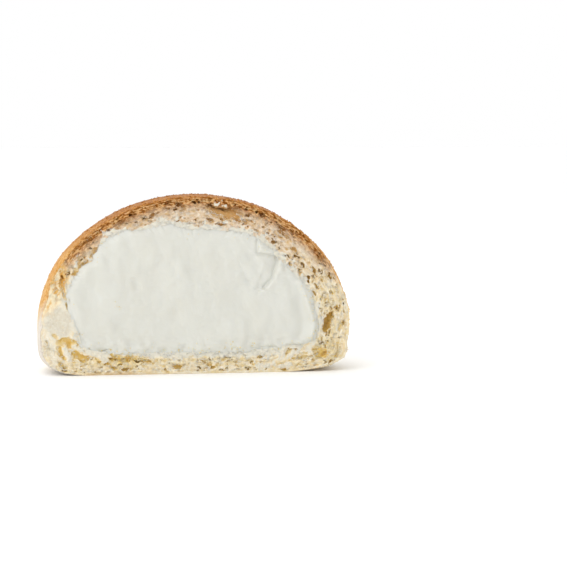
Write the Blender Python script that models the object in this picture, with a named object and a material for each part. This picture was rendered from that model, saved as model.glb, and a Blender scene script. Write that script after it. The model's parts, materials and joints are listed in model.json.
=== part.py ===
# Half of a cream bun: a soft baked bun, cut upright a little in front of its middle, with the
# whipped cream that fills it. Metres, +Z up. The bun's own axis is the Z axis, its flat base
# lies on Z = 0, and the cut face looks along -Y.

import math

import bmesh
import bpy
from mathutils import Matrix, Vector, noise

MM = 0.001

# The whole bun
BUN_RADIUS = 47.5 * MM
BUN_HEIGHT = 54.0 * MM
WAIST_HEIGHT = 14.0 * MM  # where the bun is widest
WAIST_DEPTH = 14.4 * MM  # how far the rounded foot would reach below the waist without the tray
FOOT_POWER = 5.0  # squareness of the foot's corner
FOOT_LEAN = 0.1  # the foot's corner is squarer towards -X and rounder towards +X by this share
FOOT_LEAN_HEIGHT = 1.5 * MM  # and the difference fades over this height
PLAN_UNEVEN = 0.6 * MM  # how far the plan strays from a circle
PLAN_WAVES = 1.3  # how quickly it strays, over the unit circle
SKIN_SWELL = 0.35 * MM  # soft rises and dips of the crust
SKIN_SWELL_SIZE = 13.0 * MM
FIRM_HEIGHT = 4.0 * MM  # the unevenness fades towards the flat base below this height

# The cut
KNIFE_OFFSET = 8.0 * MM  # the knife passed this far in front of the bun's axis
KNIFE_REACH = 62.0 * MM  # the knife's grid runs this far to each side
KNIFE_LOW = -4.0 * MM
KNIFE_HIGH = 58.0 * MM
KNIFE_FRONT = 60.0 * MM  # the space in front of the cut that is cleared away
CRUMB_GRID = 1.0 * MM
CREAM_GRID = 2.3 * MM

# The crumb that the knife lays open
CRUST_THICKNESS = 1.4 * MM
CELL_RING = 30.0 * MM  # cells follow the crust as if bent round a ring of this radius
CELL_LENGTH = 3.4 * MM  # cells are stretched along the crust
CELL_WIDTH = 2.1 * MM
CELL_DEPTH = 1.5 * MM
CELL_WALL = (0.05, 0.55)  # from a wall's crest to the open cell, in shares of a cell
CELL_PATCHES = 0.35  # deep and shallow patches, several cells across
CRUMB_ROUGHNESS = 0.35 * MM
CRUMB_GRAIN = 1.6 * MM

# The cream
CREAM_REACH = 38.0 * MM  # how far behind the bun's axis the cream ends
CREAM_CENTRE = Vector((-1.0 * MM, 0.0, 24.0 * MM))
CREAM_GAP = 0.3 * MM  # between the cream and the wall of its pocket
CREAM_SET_BACK = 0.2 * MM
CREAM_SWELL = 0.45 * MM
CREAM_SWELL_SIZE = (17.0 * MM, 11.0 * MM)  # across and up
CREAM_DRAG = 0.4  # upright drag marks, as a share of the swell
CREAM_DRAG_SIZE = (6.0 * MM, 15.0 * MM)
CREAM_RIDGE = 0.5 * MM  # the cream stands out along its edge at +X
CREAM_RIDGE_FROM = (31.0 * MM, 36.0 * MM)
CREAM_AROUND = 60
CREAM_ALONG = 20

# Outline of the cream on the cut face: (across, up) in millimetres, anticlockwise from the right
CREAM_OUTLINE = (
    (36.4, 18.1), (34.3, 24.1), (30.4, 29.9), (22.2, 37.8), (17.0, 41.6), (8.0, 43.5),
    (-2.0, 44.0), (-8.4, 45.4), (-14.5, 43.9), (-23.4, 43.2), (-29.0, 39.5), (-32.4, 34.4),
    (-39.0, 28.7), (-40.2, 21.6), (-37.2, 12.6), (-33.4, 7.6), (-20.0, 6.3), (0.8, 6.2),
    (20.0, 6.7), (30.0, 8.4), (35.4, 9.5), (37.4, 13.2),
)

# Large gas holes in the crumb: (across, up, half length, half width, depth) in millimetres,
# then the tilt of the long side from the horizontal in degrees
GAS_HOLES = (
    (8.5, 49.0, 5.9, 2.2, 2.6, -12.0),
    (39.9, 15.3, 3.8, 1.4, 4.0, 68.0),
    (38.4, 5.4, 2.5, 1.5, 1.6, 5.0),
    (-37.2, 5.6, 2.6, 1.6, 3.0, -35.0),
    (-39.5, 9.9, 3.0, 1.1, 2.4, 0.0),
    (-42.1, 6.4, 2.2, 1.0, 2.0, -78.0),
    (-40.4, 21.6, 2.2, 0.9, 1.6, -72.0),
    (-35.0, 33.8, 2.6, 1.3, 1.6, 38.0),
    (-31.2, 37.4, 3.2, 1.6, 1.3, 42.0),
    (-28.0, 5.6, 2.1, 1.1, 1.7, -18.0),
    (-21.5, 4.8, 1.7, 1.4, 1.6, 0.0),
    (26.2, 43.7, 1.8, 1.1, 1.9, -35.0),
    (26.0, 6.0, 1.7, 1.1, 1.8, 20.0),
    (36.0, 7.3, 2.0, 1.0, 1.8, 25.0),
)

# Folds low on the crust: (direction in plan in degrees, half span in degrees, height in
# millimetres, rise over the half span in millimetres, depth in millimetres)
SKIN_FOLDS = (
    (168.0, 22.0, 19.5, -1.4, 1.1),
    (148.0, 14.0, 15.0, -2.2, 0.9),
    (128.0, 30.0, 8.4, 0.8, 1.2),
    (102.0, 16.0, 16.5, 1.6, 0.8),
    (84.0, 20.0, 6.2, -0.6, 1.0),
    (66.0, 18.0, 12.2, 1.8, 1.1),
    (46.0, 24.0, 7.4, 0.9, 1.1),
    (28.0, 15.0, 17.6, -1.2, 0.9),
    (8.0, 18.0, 11.0, 1.4, 1.0),
)
FOLD_WIDTH = 1.1 * MM
FOLD_WANDER = 0.5 * MM
FOLD_WANDER_RATE = 0.31  # radians for each degree of direction
FOLD_LIP = 0.45  # the lip above a fold stands out by this share of its depth
FOLD_LIP_PLACE = 1.9  # fold widths above the fold's middle
FOLD_LIP_SPREAD = 1.6

# Steps of the turned body
SAME_PLACE = 0.01 * MM
TURN_STEPS = 84
BASE_STEPS = 4
SIDE_STEPS = 11
FOLD_STEPS = 8
DOME_STEPS = 12
FOLD_TOP = 24.0 * MM  # closely spaced steps up to here, for the folds

CRUST_COLOUR = (0.60, 0.33, 0.11, 1.0)
CREAM_COLOUR = (0.78, 0.77, 0.70, 1.0)


def smooth_step(low, high, value):
    share = min(1.0, max(0.0, (value - low) / (high - low)))
    return share * share * (3.0 - 2.0 * share)


def foot_radius(height):
    """Radius of the bun between its base and its waist."""
    drop = (WAIST_HEIGHT - height) / WAIST_DEPTH
    return BUN_RADIUS * (1.0 - drop**FOOT_POWER) ** (1.0 / FOOT_POWER)


def dome_radius(height):
    """Radius of the bun above its waist, a quarter of an ellipse."""
    rise = (height - WAIST_HEIGHT) / (BUN_HEIGHT - WAIST_HEIGHT)
    return BUN_RADIUS * math.sqrt(max(0.0, 1.0 - rise * rise))


def bun_profile():
    """Half outline of the bun as (radius, height), from the middle of its base to its top."""
    base_radius = foot_radius(0.0)
    points = [(base_radius * i / BASE_STEPS, 0.0) for i in range(BASE_STEPS)]
    for i in range(SIDE_STEPS):
        height = WAIST_HEIGHT * (i / SIDE_STEPS) ** 1.25
        points.append((foot_radius(height), height))
    for i in range(FOLD_STEPS):
        height = WAIST_HEIGHT + (FOLD_TOP - WAIST_HEIGHT) * i / FOLD_STEPS
        points.append((dome_radius(height), height))
    dome = BUN_HEIGHT - WAIST_HEIGHT
    start = math.asin((FOLD_TOP - WAIST_HEIGHT) / dome)
    for i in range(DOME_STEPS):
        angle = start + (math.pi / 2 - start) * i / DOME_STEPS
        points.append((BUN_RADIUS * math.cos(angle), WAIST_HEIGHT + dome * math.sin(angle)))
    points.append((0.0, BUN_HEIGHT))
    return points


def fold_depth(turn, height):
    """How far the folds of the crust pull it in at this direction in plan and this height."""
    total = 0.0
    for middle, half_span, level, rise, depth in SKIN_FOLDS:
        away = (turn - middle) / half_span
        if abs(away) >= 1.0:
            continue
        wander = FOLD_WANDER * math.sin(turn * FOLD_WANDER_RATE + level)
        offset = (height - (level + rise * away) * MM - wander) / FOLD_WIDTH
        groove = math.exp(-offset * offset)
        lip = FOLD_LIP * math.exp(-((offset - FOLD_LIP_PLACE) ** 2) / FOLD_LIP_SPREAD)
        total += depth * MM * (1.0 - away * away) * (groove - lip)
    return total


def make_loaf():
    """The whole bun before it is cut: its profile turned about Z, then made uneven as baked."""
    bm = bmesh.new()
    points = [bm.verts.new((radius, 0.0, height)) for radius, height in bun_profile()]
    edges = [bm.edges.new(pair) for pair in zip(points, points[1:])]
    bmesh.ops.spin(
        bm, geom=points + edges, axis=(0, 0, 1), cent=(0, 0, 0),
        angle=2 * math.pi, steps=TURN_STEPS, use_merge=True,
    )
    bmesh.ops.remove_doubles(bm, verts=bm.verts, dist=SAME_PLACE)
    for vert in bm.verts:
        radius = math.hypot(vert.co.x, vert.co.y)
        if radius < SAME_PLACE:
            continue
        outward = Vector((vert.co.x / radius, vert.co.y / radius, 0.0))
        lean = FOOT_LEAN * radius * outward.x * math.exp(-vert.co.z / FOOT_LEAN_HEIGHT)
        firm = smooth_step(0.0, FIRM_HEIGHT, vert.co.z)
        uneven = PLAN_UNEVEN * noise.noise(outward * PLAN_WAVES)
        swell = SKIN_SWELL * noise.noise(vert.co / SKIN_SWELL_SIZE)
        turn = math.degrees(math.atan2(vert.co.y, vert.co.x))
        fold = fold_depth(turn, vert.co.z) if vert.co.z > SAME_PLACE else 0.0
        vert.co += outward * (firm * (uneven + swell) - lean - fold)
    face_outward(bm)
    return finished_mesh("bun_bread", bm)


def rim_position(across, up):
    """Angle round the middle of the cut face, and the distance in from the crust there."""
    cut_width = math.sqrt(BUN_RADIUS**2 - KNIFE_OFFSET**2)
    cut_height = (BUN_HEIGHT - WAIST_HEIGHT) * cut_width / BUN_RADIUS
    rise = up - WAIST_HEIGHT
    angle = math.atan2(rise, across)
    sides = (abs(math.cos(angle)) / cut_width, abs(math.sin(angle)))
    if rise >= 0:
        edge = 1.0 / math.hypot(sides[0], sides[1] / cut_height)
    else:
        foot = sides[0] ** FOOT_POWER + (sides[1] / WAIST_DEPTH) ** FOOT_POWER
        edge = min(foot ** (-1.0 / FOOT_POWER), WAIST_HEIGHT / max(1e-9, sides[1]))
    return angle, edge - math.hypot(across, rise)


def hole_depth(across, up):
    """Depth of the large gas holes at this place on the cut face."""
    deepest = 0.0
    for middle, level, half_length, half_width, depth, tilt in GAS_HOLES:
        turned = Matrix.Rotation(-math.radians(tilt), 2) @ Vector(
            (across - middle * MM, up - level * MM)
        )
        away = math.hypot(turned.x / (half_length * MM), turned.y / (half_width * MM))
        deepest = max(deepest, depth * MM * math.sqrt(max(0.0, 1.0 - away * away)))
    return deepest


def crumb_depth(across, up):
    """How far the torn crumb lies behind the knife's plane: open cells between thin walls."""
    angle, inward = rim_position(across, up)
    place = Vector((
        CELL_RING * math.cos(angle) / CELL_LENGTH,
        CELL_RING * math.sin(angle) / CELL_LENGTH,
        inward / CELL_WIDTH,
    ))
    nearest, second = noise.voronoi(place)[0][:2]
    cell = smooth_step(*CELL_WALL, second - nearest)
    patch = 1.0 + noise.noise(place * CELL_PATCHES)
    inside = smooth_step(0.3 * CRUST_THICKNESS, 2.0 * CRUST_THICKNESS, inward)
    rough = noise.noise(Vector((across, 0.0, up)) / CRUMB_GRAIN) * (1.0 + 2.0 * inside) / 3.0
    cells = inside * CELL_DEPTH * cell * patch / 1.5
    return max(hole_depth(across, up), cells) + CRUMB_ROUGHNESS * rough


def cream_depth(across, up):
    """How far the knife-smoothed cream lies behind the knife's plane."""
    waves = Vector((across / CREAM_SWELL_SIZE[0], 3.0, up / CREAM_SWELL_SIZE[1]))
    drag = Vector((across / CREAM_DRAG_SIZE[0], 9.0, up / CREAM_DRAG_SIZE[1]))
    swell = noise.noise(waves) + CREAM_DRAG * noise.noise(drag)
    ridge = smooth_step(*CREAM_RIDGE_FROM, across)
    return CREAM_SET_BACK + CREAM_SWELL * swell - CREAM_RIDGE * ridge


def make_knife(name, spacing, depth_at):
    """All that the knife takes away: a block in front of the cut, whose back is the cut face."""
    columns = round(2 * KNIFE_REACH / spacing)
    rows = round((KNIFE_HIGH - KNIFE_LOW) / spacing)
    bm = bmesh.new()
    bmesh.ops.create_grid(bm, x_segments=columns, y_segments=rows, size=1.0)
    back = list(bm.verts)
    front = bmesh.ops.extrude_face_region(bm, geom=list(bm.faces))["geom"]
    front = {item for item in front if isinstance(item, bmesh.types.BMVert)}
    for vert in list(front) + back:
        across = vert.co.x * KNIFE_REACH
        up = KNIFE_LOW + (vert.co.y + 1.0) / 2 * (KNIFE_HIGH - KNIFE_LOW)
        cut = -KNIFE_OFFSET + depth_at(across, up)
        vert.co = (across, -KNIFE_FRONT if vert in front else cut, up)
    face_outward(bm)
    return finished_mesh(name, bm)


def outline_point(share):
    """Point of the cream's outline at this share of the way round, on a smooth closed curve."""
    count = len(CREAM_OUTLINE)
    place = (share % 1.0) * count
    index, t = int(place), place % 1.0
    a, b, c, d = (Vector(CREAM_OUTLINE[(index + i) % count]) for i in (-1, 0, 1, 2))
    return (
        b + 0.5 * t * (c - a + t * (2 * a - 5 * b + 4 * c - d + t * (3 * (b - c) + d - a)))
    ) * MM


def make_cream_body(name, grow):
    """The cream as piped in: sections like the cut's outline, smaller towards back and front."""
    bm = bmesh.new()
    bmesh.ops.create_uvsphere(
        bm, u_segments=CREAM_AROUND, v_segments=CREAM_ALONG, radius=1.0
    )
    at_cut = math.sqrt(1.0 - (KNIFE_OFFSET / CREAM_REACH) ** 2)
    for vert in bm.verts:
        size = math.hypot(vert.co.x, vert.co.y) / at_cut
        edge = outline_point(math.atan2(vert.co.y, vert.co.x) / (2 * math.pi))
        vert.co = (
            CREAM_CENTRE.x + (edge.x - CREAM_CENTRE.x) * size,
            CREAM_REACH * vert.co.z,
            CREAM_CENTRE.z + (edge.y - CREAM_CENTRE.z) * size,
        )
    face_outward(bm)
    moves = [(vert, vert.normal * grow) for vert in bm.verts]
    for vert, move in moves:
        vert.co += move
    return finished_mesh(name, bm)


def face_outward(bm):
    """Turns every face outward, from normals that fit where the vertices are now."""
    bm.normal_update()
    bmesh.ops.recalc_face_normals(bm, faces=bm.faces)
    bm.normal_update()


def finished_mesh(name, bm):
    mesh = bpy.data.meshes.new(name)
    bm.to_mesh(mesh)
    bm.free()
    return bpy.data.objects.new(name, mesh)


def cut(obj, cutter):
    """Takes the cutter's shape out of the object."""
    cutter.hide_render = True
    cutter.display_type = "WIRE"
    modifier = obj.modifiers.new(cutter.name, "BOOLEAN")
    modifier.operation = "DIFFERENCE"
    modifier.solver = "EXACT"
    modifier.object = cutter


def finish(obj, colour, roughness):
    """Gives the object its material and smooth shading."""
    material = bpy.data.materials.new(obj.name)
    material.use_nodes = True
    shader = material.node_tree.nodes["Principled BSDF"]
    shader.inputs["Base Color"].default_value = colour
    shader.inputs["Roughness"].default_value = roughness
    shader.inputs["Metallic"].default_value = 0.0
    obj.data.materials.append(material)
    obj.data.shade_smooth()


def new_collection(name, objects):
    collection = bpy.data.collections.new(name)
    bpy.context.scene.collection.children.link(collection)
    for obj in objects:
        collection.objects.link(obj)


def main():
    for obj in list(bpy.data.objects):
        bpy.data.objects.remove(obj)

    bun = make_loaf()
    cream = make_cream_body("cream_filling", 0.0)
    pocket = make_cream_body("cream_pocket", CREAM_GAP)
    crumb_knife = make_knife("crumb_knife", CRUMB_GRID, crumb_depth)
    cream_knife = make_knife("cream_knife", CREAM_GRID, cream_depth)

    new_collection("cream_bun", [bun, cream])
    new_collection("cutters", [pocket, crumb_knife, cream_knife])
    cut(bun, crumb_knife)
    cut(bun, pocket)
    cut(cream, cream_knife)
    finish(bun, CRUST_COLOUR, 0.6)
    finish(cream, CREAM_COLOUR, 0.35)


main()
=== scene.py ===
import json
import math
from functools import partial

import bmesh
import bpy
import numpy as np
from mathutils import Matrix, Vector, noise

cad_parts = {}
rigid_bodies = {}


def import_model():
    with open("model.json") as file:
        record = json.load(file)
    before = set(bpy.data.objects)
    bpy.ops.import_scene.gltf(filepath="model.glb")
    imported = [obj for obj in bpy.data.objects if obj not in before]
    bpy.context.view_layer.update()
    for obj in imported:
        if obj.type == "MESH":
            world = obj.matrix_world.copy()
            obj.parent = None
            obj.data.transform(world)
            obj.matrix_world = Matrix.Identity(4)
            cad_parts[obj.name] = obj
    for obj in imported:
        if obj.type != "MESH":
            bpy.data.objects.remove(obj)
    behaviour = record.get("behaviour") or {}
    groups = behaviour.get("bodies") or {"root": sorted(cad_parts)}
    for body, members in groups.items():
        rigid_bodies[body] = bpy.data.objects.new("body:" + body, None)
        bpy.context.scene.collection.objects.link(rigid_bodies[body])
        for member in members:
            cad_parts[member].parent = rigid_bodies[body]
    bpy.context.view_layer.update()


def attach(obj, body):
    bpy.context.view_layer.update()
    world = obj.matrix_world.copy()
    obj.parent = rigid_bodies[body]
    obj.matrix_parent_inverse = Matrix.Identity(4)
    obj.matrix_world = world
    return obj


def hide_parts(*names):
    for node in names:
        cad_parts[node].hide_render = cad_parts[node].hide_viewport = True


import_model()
mm = 0.001
sceneObjects = bpy.context.scene.collection.objects
print("frame loaded")

# The bun's form, as in the solids. Sizes in mm.
bun = {
    "radius": 47.5,
    "height": 54.0,
    "waist": 14.0,  # height where it is widest
    "waistDepth": 14.4,
    "footPower": 5.0,  # squareness of the foot's corner
    "footLean": 0.1,  # the corner is squarer on the left, rounder on the right
    "footLeanHeight": 1.5,
    "planUneven": 0.6,
    "planWaves": 1.3,
    "swell": 0.35,
    "swellSize": 13.0,
    "firmHeight": 4.0,
    "cut": -8.0,  # the knife's plane, in front of the bun's axis
    "torn": 0.75,  # the crust's edge along the cut is torn by about this much
    "tornSize": 4.5,
    "tornReach": 3.5,
    "turnSteps": 620,
    "rings": 224,
    "flankSteps": 60,  # points of the outline below the waist, closer together near the foot
    "domeSteps": 200,
    "seam": -3.2,  # plane where the cut end, with its open crumb, joins the rest of the loaf
}

# Folds low on the crust: direction in plan and half span in degrees, then height, rise over
# the half span and depth in mm
skinFolds = (
    (150.0, 15.0, 20.0, -1.2, 1.0),
    (138.0, 14.0, 15.0, -2.2, 1.0),
    (128.0, 30.0, 8.4, 0.8, 1.2),
    (102.0, 16.0, 16.5, 1.6, 0.9),
    (84.0, 20.0, 6.2, -0.6, 1.1),
    (66.0, 18.0, 12.2, 1.8, 1.2),
    (46.0, 24.0, 7.4, 0.9, 1.2),
    (28.0, 15.0, 17.6, -1.2, 1.0),
    (8.0, 18.0, 11.0, 1.4, 1.1),
)
foldShape = {
    "width": 0.85,
    "wanders": ((1.0, 0.6), (2.7, 0.3), (6.1, 0.18)),  # rate and mm of its waves
    "wanderRate": 0.31,
    "lip": 0.45,  # the lip above a fold stands out by this share of its depth
    "lipPlace": 1.9,
    "lipSpread": 1.6,
}

# Outline of the cream on the cut face, across and up in mm, anticlockwise from the right
creamOutline = (
    (36.4, 18.1), (34.3, 24.1), (30.4, 29.9), (22.2, 37.8), (17.0, 41.6), (8.0, 43.5),
    (-2.0, 44.0), (-8.4, 45.4), (-14.5, 43.9), (-23.4, 43.2), (-29.0, 39.5), (-32.4, 34.4),
    (-37.7, 28.4), (-38.9, 21.4), (-36.6, 12.6), (-33.4, 7.6), (-20.0, 6.3), (0.8, 6.2),
    (20.0, 6.7), (30.0, 8.4), (35.4, 9.5), (37.4, 13.2),
)


def linear(hexColour):
    # sRGB hex to the linear values that the shader wants
    parts = [int(hexColour[i:i + 2], 16) / 255 for i in (1, 3, 5)]
    return (*[p / 12.92 if p <= 0.04045 else ((p + 0.055) / 1.055) ** 2.4 for p in parts], 1.0)


def fillInputs(node, inputs):
    # links or fills a node's inputs, which are given by name, by number or in their order
    pairs = inputs.items() if isinstance(inputs, dict) else enumerate(inputs)
    for key, value in pairs:
        for one in value if isinstance(value, list) else [value]:
            if isinstance(one, bpy.types.NodeSocket):
                node.id_data.links.new(one, node.inputs[key])
            elif one is not None:
                node.inputs[key].default_value = one


def addNode(tree, kind, inputs=(), out=0, **settings):
    # adds a node, sets its properties, fills its inputs, and gives back its output. The kind is
    # the end of its type and its operation, stops are the (place, colour) pairs of a colour
    # ramp, and several outputs come as a list
    kind, _, operation = kind.partition(" ")
    families = ["GeometryNode", "FunctionNode"] * (tree.type == "GEOMETRY") + ["ShaderNode"]
    node = tree.nodes.new(next(f + kind for f in families if hasattr(bpy.types, f + kind)))
    for place, colour in settings.pop("stops", ()):
        # a new ramp has two stops, at 0 and 1, which the first and last pair take
        spare = [e for e in node.color_ramp.elements if place in (0.0, 1.0) and e.position == place]
        element = spare[0] if spare else node.color_ramp.elements.new(place)
        element.color = linear(colour)
    for name, value in settings.items():
        setattr(node, name, value)
    if operation:
        node.operation = operation
    fillInputs(node, inputs)
    return [node.outputs[o] for o in out] if isinstance(out, tuple) else node.outputs[out]


def newTree(name, inputs):
    # an empty tree with named inputs and one geometry output, and what adds a node to it
    tree = bpy.data.node_groups.new(name, "GeometryNodeTree")
    for label, kind in inputs.items():
        tree.interface.new_socket(label, in_out="INPUT", socket_type="NodeSocket" + kind)
    tree.interface.new_socket("Result", in_out="OUTPUT", socket_type="NodeSocketGeometry")
    return tree, tree.nodes.new("NodeGroupInput").outputs, partial(addNode, tree)


def endTree(tree, geometry, material, **stored):
    # its points take these values as attributes, and all of it becomes mesh in this material
    for name, value in stored.items():
        inputs = {"Geometry": geometry, "Name": name, "Value": value}
        geometry = addNode(tree, "StoreNamedAttribute", inputs, data_type="FLOAT", domain="POINT")
    geometry = addNode(tree, "RealizeInstances", {0: geometry})
    geometry = addNode(tree, "SetMaterial", {"Geometry": geometry, "Material": material})
    tree.links.new(geometry, tree.nodes.new("NodeGroupOutput").inputs[0])


def useTree(obj, tree, values):
    # sets a tree on the object with its named inputs, then bakes the result
    modifier = obj.modifiers.new(tree.name, "NODES")
    modifier.node_group = tree
    for socket in tree.interface.items_tree:
        if socket.in_out == "INPUT" and socket.name in values:
            modifier[socket.identifier] = values[socket.name]
    return bakeModifiers(obj)


def newMaterial(name):
    material = bpy.data.materials.new(name)
    material.use_nodes = True
    return material, material.node_tree.nodes["Principled BSDF"]


def newObject(name, data):
    obj = bpy.data.objects.new(name, data)
    sceneObjects.link(obj)
    return obj


def toObject(name, bm):
    mesh = bpy.data.meshes.new(name)
    bm.to_mesh(mesh)
    bm.free()
    return newObject(name, mesh)


def stackRings(name, first, rings, last):
    # a closed body from rows of points round it, with a pole at each end; places in mm
    around = len(rings[0])
    faces = [(0, 1 + i, 1 + (i + 1) % around) for i in range(around)]
    for ring in range(len(rings) - 1):
        low, high = 1 + ring * around, 1 + (ring + 1) * around
        faces += [(low + i, high + i, high + (i + 1) % around, low + (i + 1) % around)
                  for i in range(around)]
    low, end = 1 + (len(rings) - 1) * around, 1 + len(rings) * around
    faces += [(low + i, end, low + (i + 1) % around) for i in range(around)]
    mesh = bpy.data.meshes.new(name)
    mesh.from_pydata(np.vstack([first, *rings, last]) * mm, [], faces)
    bm = bmesh.new()
    bm.from_mesh(mesh)
    bmesh.ops.recalc_face_normals(bm, faces=bm.faces)
    return toObject(name, bm)


def storeRings(piece, name, rows, elsewhere):
    # a value for each point of the first rings, and one value for all other points
    values = np.full(len(piece.data.vertices), elsewhere, dtype=np.float32)
    values[1:1 + sum(map(len, rows))] = np.concatenate(rows)
    piece.data.attributes.new(name, "FLOAT", "POINT").data.foreach_set("value", values)


def smooth(low, high, value):
    share = np.clip((value - low) / (high - low), 0, 1)
    return share * share * (3 - 2 * share)


def bakeModifiers(obj):
    # the evaluated result becomes the object's plain mesh
    depsgraph = bpy.context.evaluated_depsgraph_get()
    mesh = bpy.data.meshes.new_from_object(obj.evaluated_get(depsgraph))
    obj.modifiers.clear()
    obj.data = mesh
    mesh.name = obj.name
    return obj


# Camera and light
view = {
    "azimuth": -9.0,
    "elevation": 4.5,
    "distance": 650.0,
    "lens": 136.0,
    "aim": (26.4, -8.0, 27.0),  # to the right of the bun, as the photo frames it
}


def makeCamera():
    azimuth, elevation = math.radians(view["azimuth"]), math.radians(view["elevation"])
    flat = math.cos(elevation)
    back = Vector((math.sin(azimuth) * flat, -math.cos(azimuth) * flat, math.sin(elevation)))
    camera = newObject("camera", bpy.data.cameras.new("camera"))
    camera.location = (Vector(view["aim"]) + back * view["distance"]) * mm
    camera.rotation_euler = (-back).to_track_quat("-Z", "Y").to_euler()
    camera.data.lens = view["lens"]
    camera.data.sensor_width = 36.0
    camera.data.clip_start = 0.01
    bpy.context.scene.camera = camera


# Area lights: place and aim in mm, size in mm, watts
lights = {
    "keySoft": ((-300, -480, 420), (0, 0, 25), 360, 0.75),
    "topSoft": ((-160, 140, 560), (0, 0, 25), 420, 0.5),
}
stage = {
    "skyStrength": 1.0,
    "skyLean": (-0.95, 0.0, 0.5),  # in front of the bun the sky is brighter towards here
    "skyDim": 0.23,  # and darker by this
    "floor": "#ffffff",
    "floorSide": 9000.0,
}


def makeLight():
    for name, (place, aim, size, watts) in lights.items():
        lamp = newObject(name, bpy.data.lights.new(name, "AREA"))
        lamp.data.shape = "DISK"
        lamp.data.size = size * mm
        lamp.data.energy = watts
        lamp.location = Vector(place) * mm
        lamp.rotation_euler = (Vector(aim) - Vector(place)).to_track_quat("-Z", "Y").to_euler()
    world = bpy.data.worlds.new("sky")
    world.use_nodes = True
    add = partial(addNode, world.node_tree)
    way = add("TexCoord", out="Generated")
    lean = add("VectorMath DOT_PRODUCT", (way, stage["skyLean"]), 1)
    lean = add("Math SUBTRACT", (lean, stage["skyDim"]))
    ahead = add("MapRange", {0: add("SeparateXYZ", (way,), "Y"), 1: 0.0, 2: -1.0})
    strength = add("Math MULTIPLY_ADD", (lean, ahead, stage["skyStrength"]))
    fillInputs(world.node_tree.nodes["Background"], ((1.0, 1.0, 1.0, 1.0), strength))
    bpy.context.scene.world = world
    bpy.context.scene.view_settings.view_transform = "Standard"


def makeFloor():
    bm = bmesh.new()
    bmesh.ops.create_grid(bm, x_segments=1, y_segments=1, size=stage["floorSide"] / 2 * mm)
    floor = toObject("floor", bm)
    # a board with matt white paint
    material, shader = newMaterial("paintedBoard")
    fillInputs(shader, {"Base Color": linear(stage["floor"]), "Roughness": 0.8})
    floor.data.materials.append(material)


makeCamera()
makeLight()
makeFloor()
print("camera, light and floor made")


# The loaf before it is cut
def loafProfile():
    # half outline, radius and height, in even steps from the top to the middle of the base
    turns = np.linspace(0, math.pi / 2, bun["domeSteps"])
    heights = np.concatenate([
        bun["waist"] * np.linspace(0, 1, bun["flankSteps"], endpoint=False) ** 1.4,
        bun["waist"] + (bun["height"] - bun["waist"]) * np.sin(turns),
    ])
    below = np.clip((bun["waist"] - heights) / bun["waistDepth"], 0, 1)
    above = np.clip((heights - bun["waist"]) / (bun["height"] - bun["waist"]), 0, 1)
    foot = (1 - below ** bun["footPower"]) ** (1 / bun["footPower"])
    radii = bun["radius"] * foot * np.sqrt(1 - above ** 2)
    outline = np.column_stack([np.append(0.0, radii), np.append(0.0, heights)])[::-1]
    along = np.append(0, np.cumsum(np.linalg.norm(np.diff(outline, axis=0), axis=1)))
    steps = np.linspace(0, along[-1], bun["rings"] + 1)
    corner = along[-2]  # where the flat base begins
    steps[np.argmin(abs(steps - corner))] = corner
    return np.column_stack([np.interp(steps, along, outline[:, i]) for i in (0, 1)])


def foldDepth(turn, height):
    total = np.zeros_like(turn)
    for middle, halfSpan, level, rise, depth in skinFolds:
        away = (turn - middle) / halfSpan
        phase = turn * foldShape["wanderRate"] + level
        wander = sum(share * np.sin(rate * phase) for rate, share in foldShape["wanders"])
        offset = (height - (level + rise * away) - wander) / foldShape["width"]
        groove = np.exp(-offset ** 2)
        lip = foldShape["lip"] * np.exp(-(offset - foldShape["lipPlace"]) ** 2 / foldShape["lipSpread"])
        total += depth * np.sqrt(np.clip(1 - away ** 2, 0, 1)) * (groove - lip)
    return total


def waves(size, points):
    # smooth noise, one value for each row of points, with waves of this size along each axis
    return np.array([noise.noise(Vector(p)) for p in points / np.array(size)])


def makeLoaf():
    turn = np.linspace(0, 2 * math.pi, bun["turnSteps"], endpoint=False)
    outward = np.column_stack([np.cos(turn), np.sin(turn)])
    uneven = waves(1 / bun["planWaves"], np.column_stack([outward, np.zeros_like(turn)]))
    profile = loafProfile()
    rings, folds = [], []
    for radius, height in profile[1:-1]:
        plain = np.column_stack([outward * radius, np.full_like(turn, height)])
        move = bun["planUneven"] * uneven + bun["swell"] * waves(bun["swellSize"], plain)
        move *= smooth(0, bun["firmHeight"], height)
        move -= bun["footLean"] * radius * outward[:, 0] * math.exp(-height / bun["footLeanHeight"])
        folds.append(foldDepth(np.degrees(turn) % 360, height) * (height > 0.01))
        if height > 0.01:
            move -= folds[-1]
            nearCut = np.exp(-((plain[:, 1] - bun["cut"]) / bun["tornReach"]) ** 2)
            torn = waves(bun["tornSize"], plain) + 0.5 * waves(bun["tornSize"] / 2.4, plain)
            move += bun["torn"] * nearCut * torn * smooth(48, 20, height)
        plain[:, :2] += outward * move[:, None]
        rings.append(plain)
    loaf = stackRings("loaf", (0, 0, bun["height"]), rings, (0, 0, 0))
    storeRings(loaf, "fold", folds, 0.0)
    return loaf


# The cream's own form
cream = {
    "reach": 38.0,  # how far behind the bun's axis it ends
    "centre": (-1.0, 24.0),
}
pocketSize = {
    "share": 0.98,  # of the cream's, so that the crumb reaches a little way under its edge
    "around": 240,
    "rings": 60,
}


def outlinePoint(share):
    # point of the cream's outline at this share of the way round, on a smooth closed curve
    count = len(creamOutline)
    place = (share % 1.0) * count
    index, t = int(place), place % 1.0
    a, b, c, d = (np.array(creamOutline[(index + i) % count]) for i in (-1, 0, 1, 2))
    return b + 0.5 * t * (c - a + t * (2 * a - 5 * b + 4 * c - d + t * (3 * (b - c) + d - a)))


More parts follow.
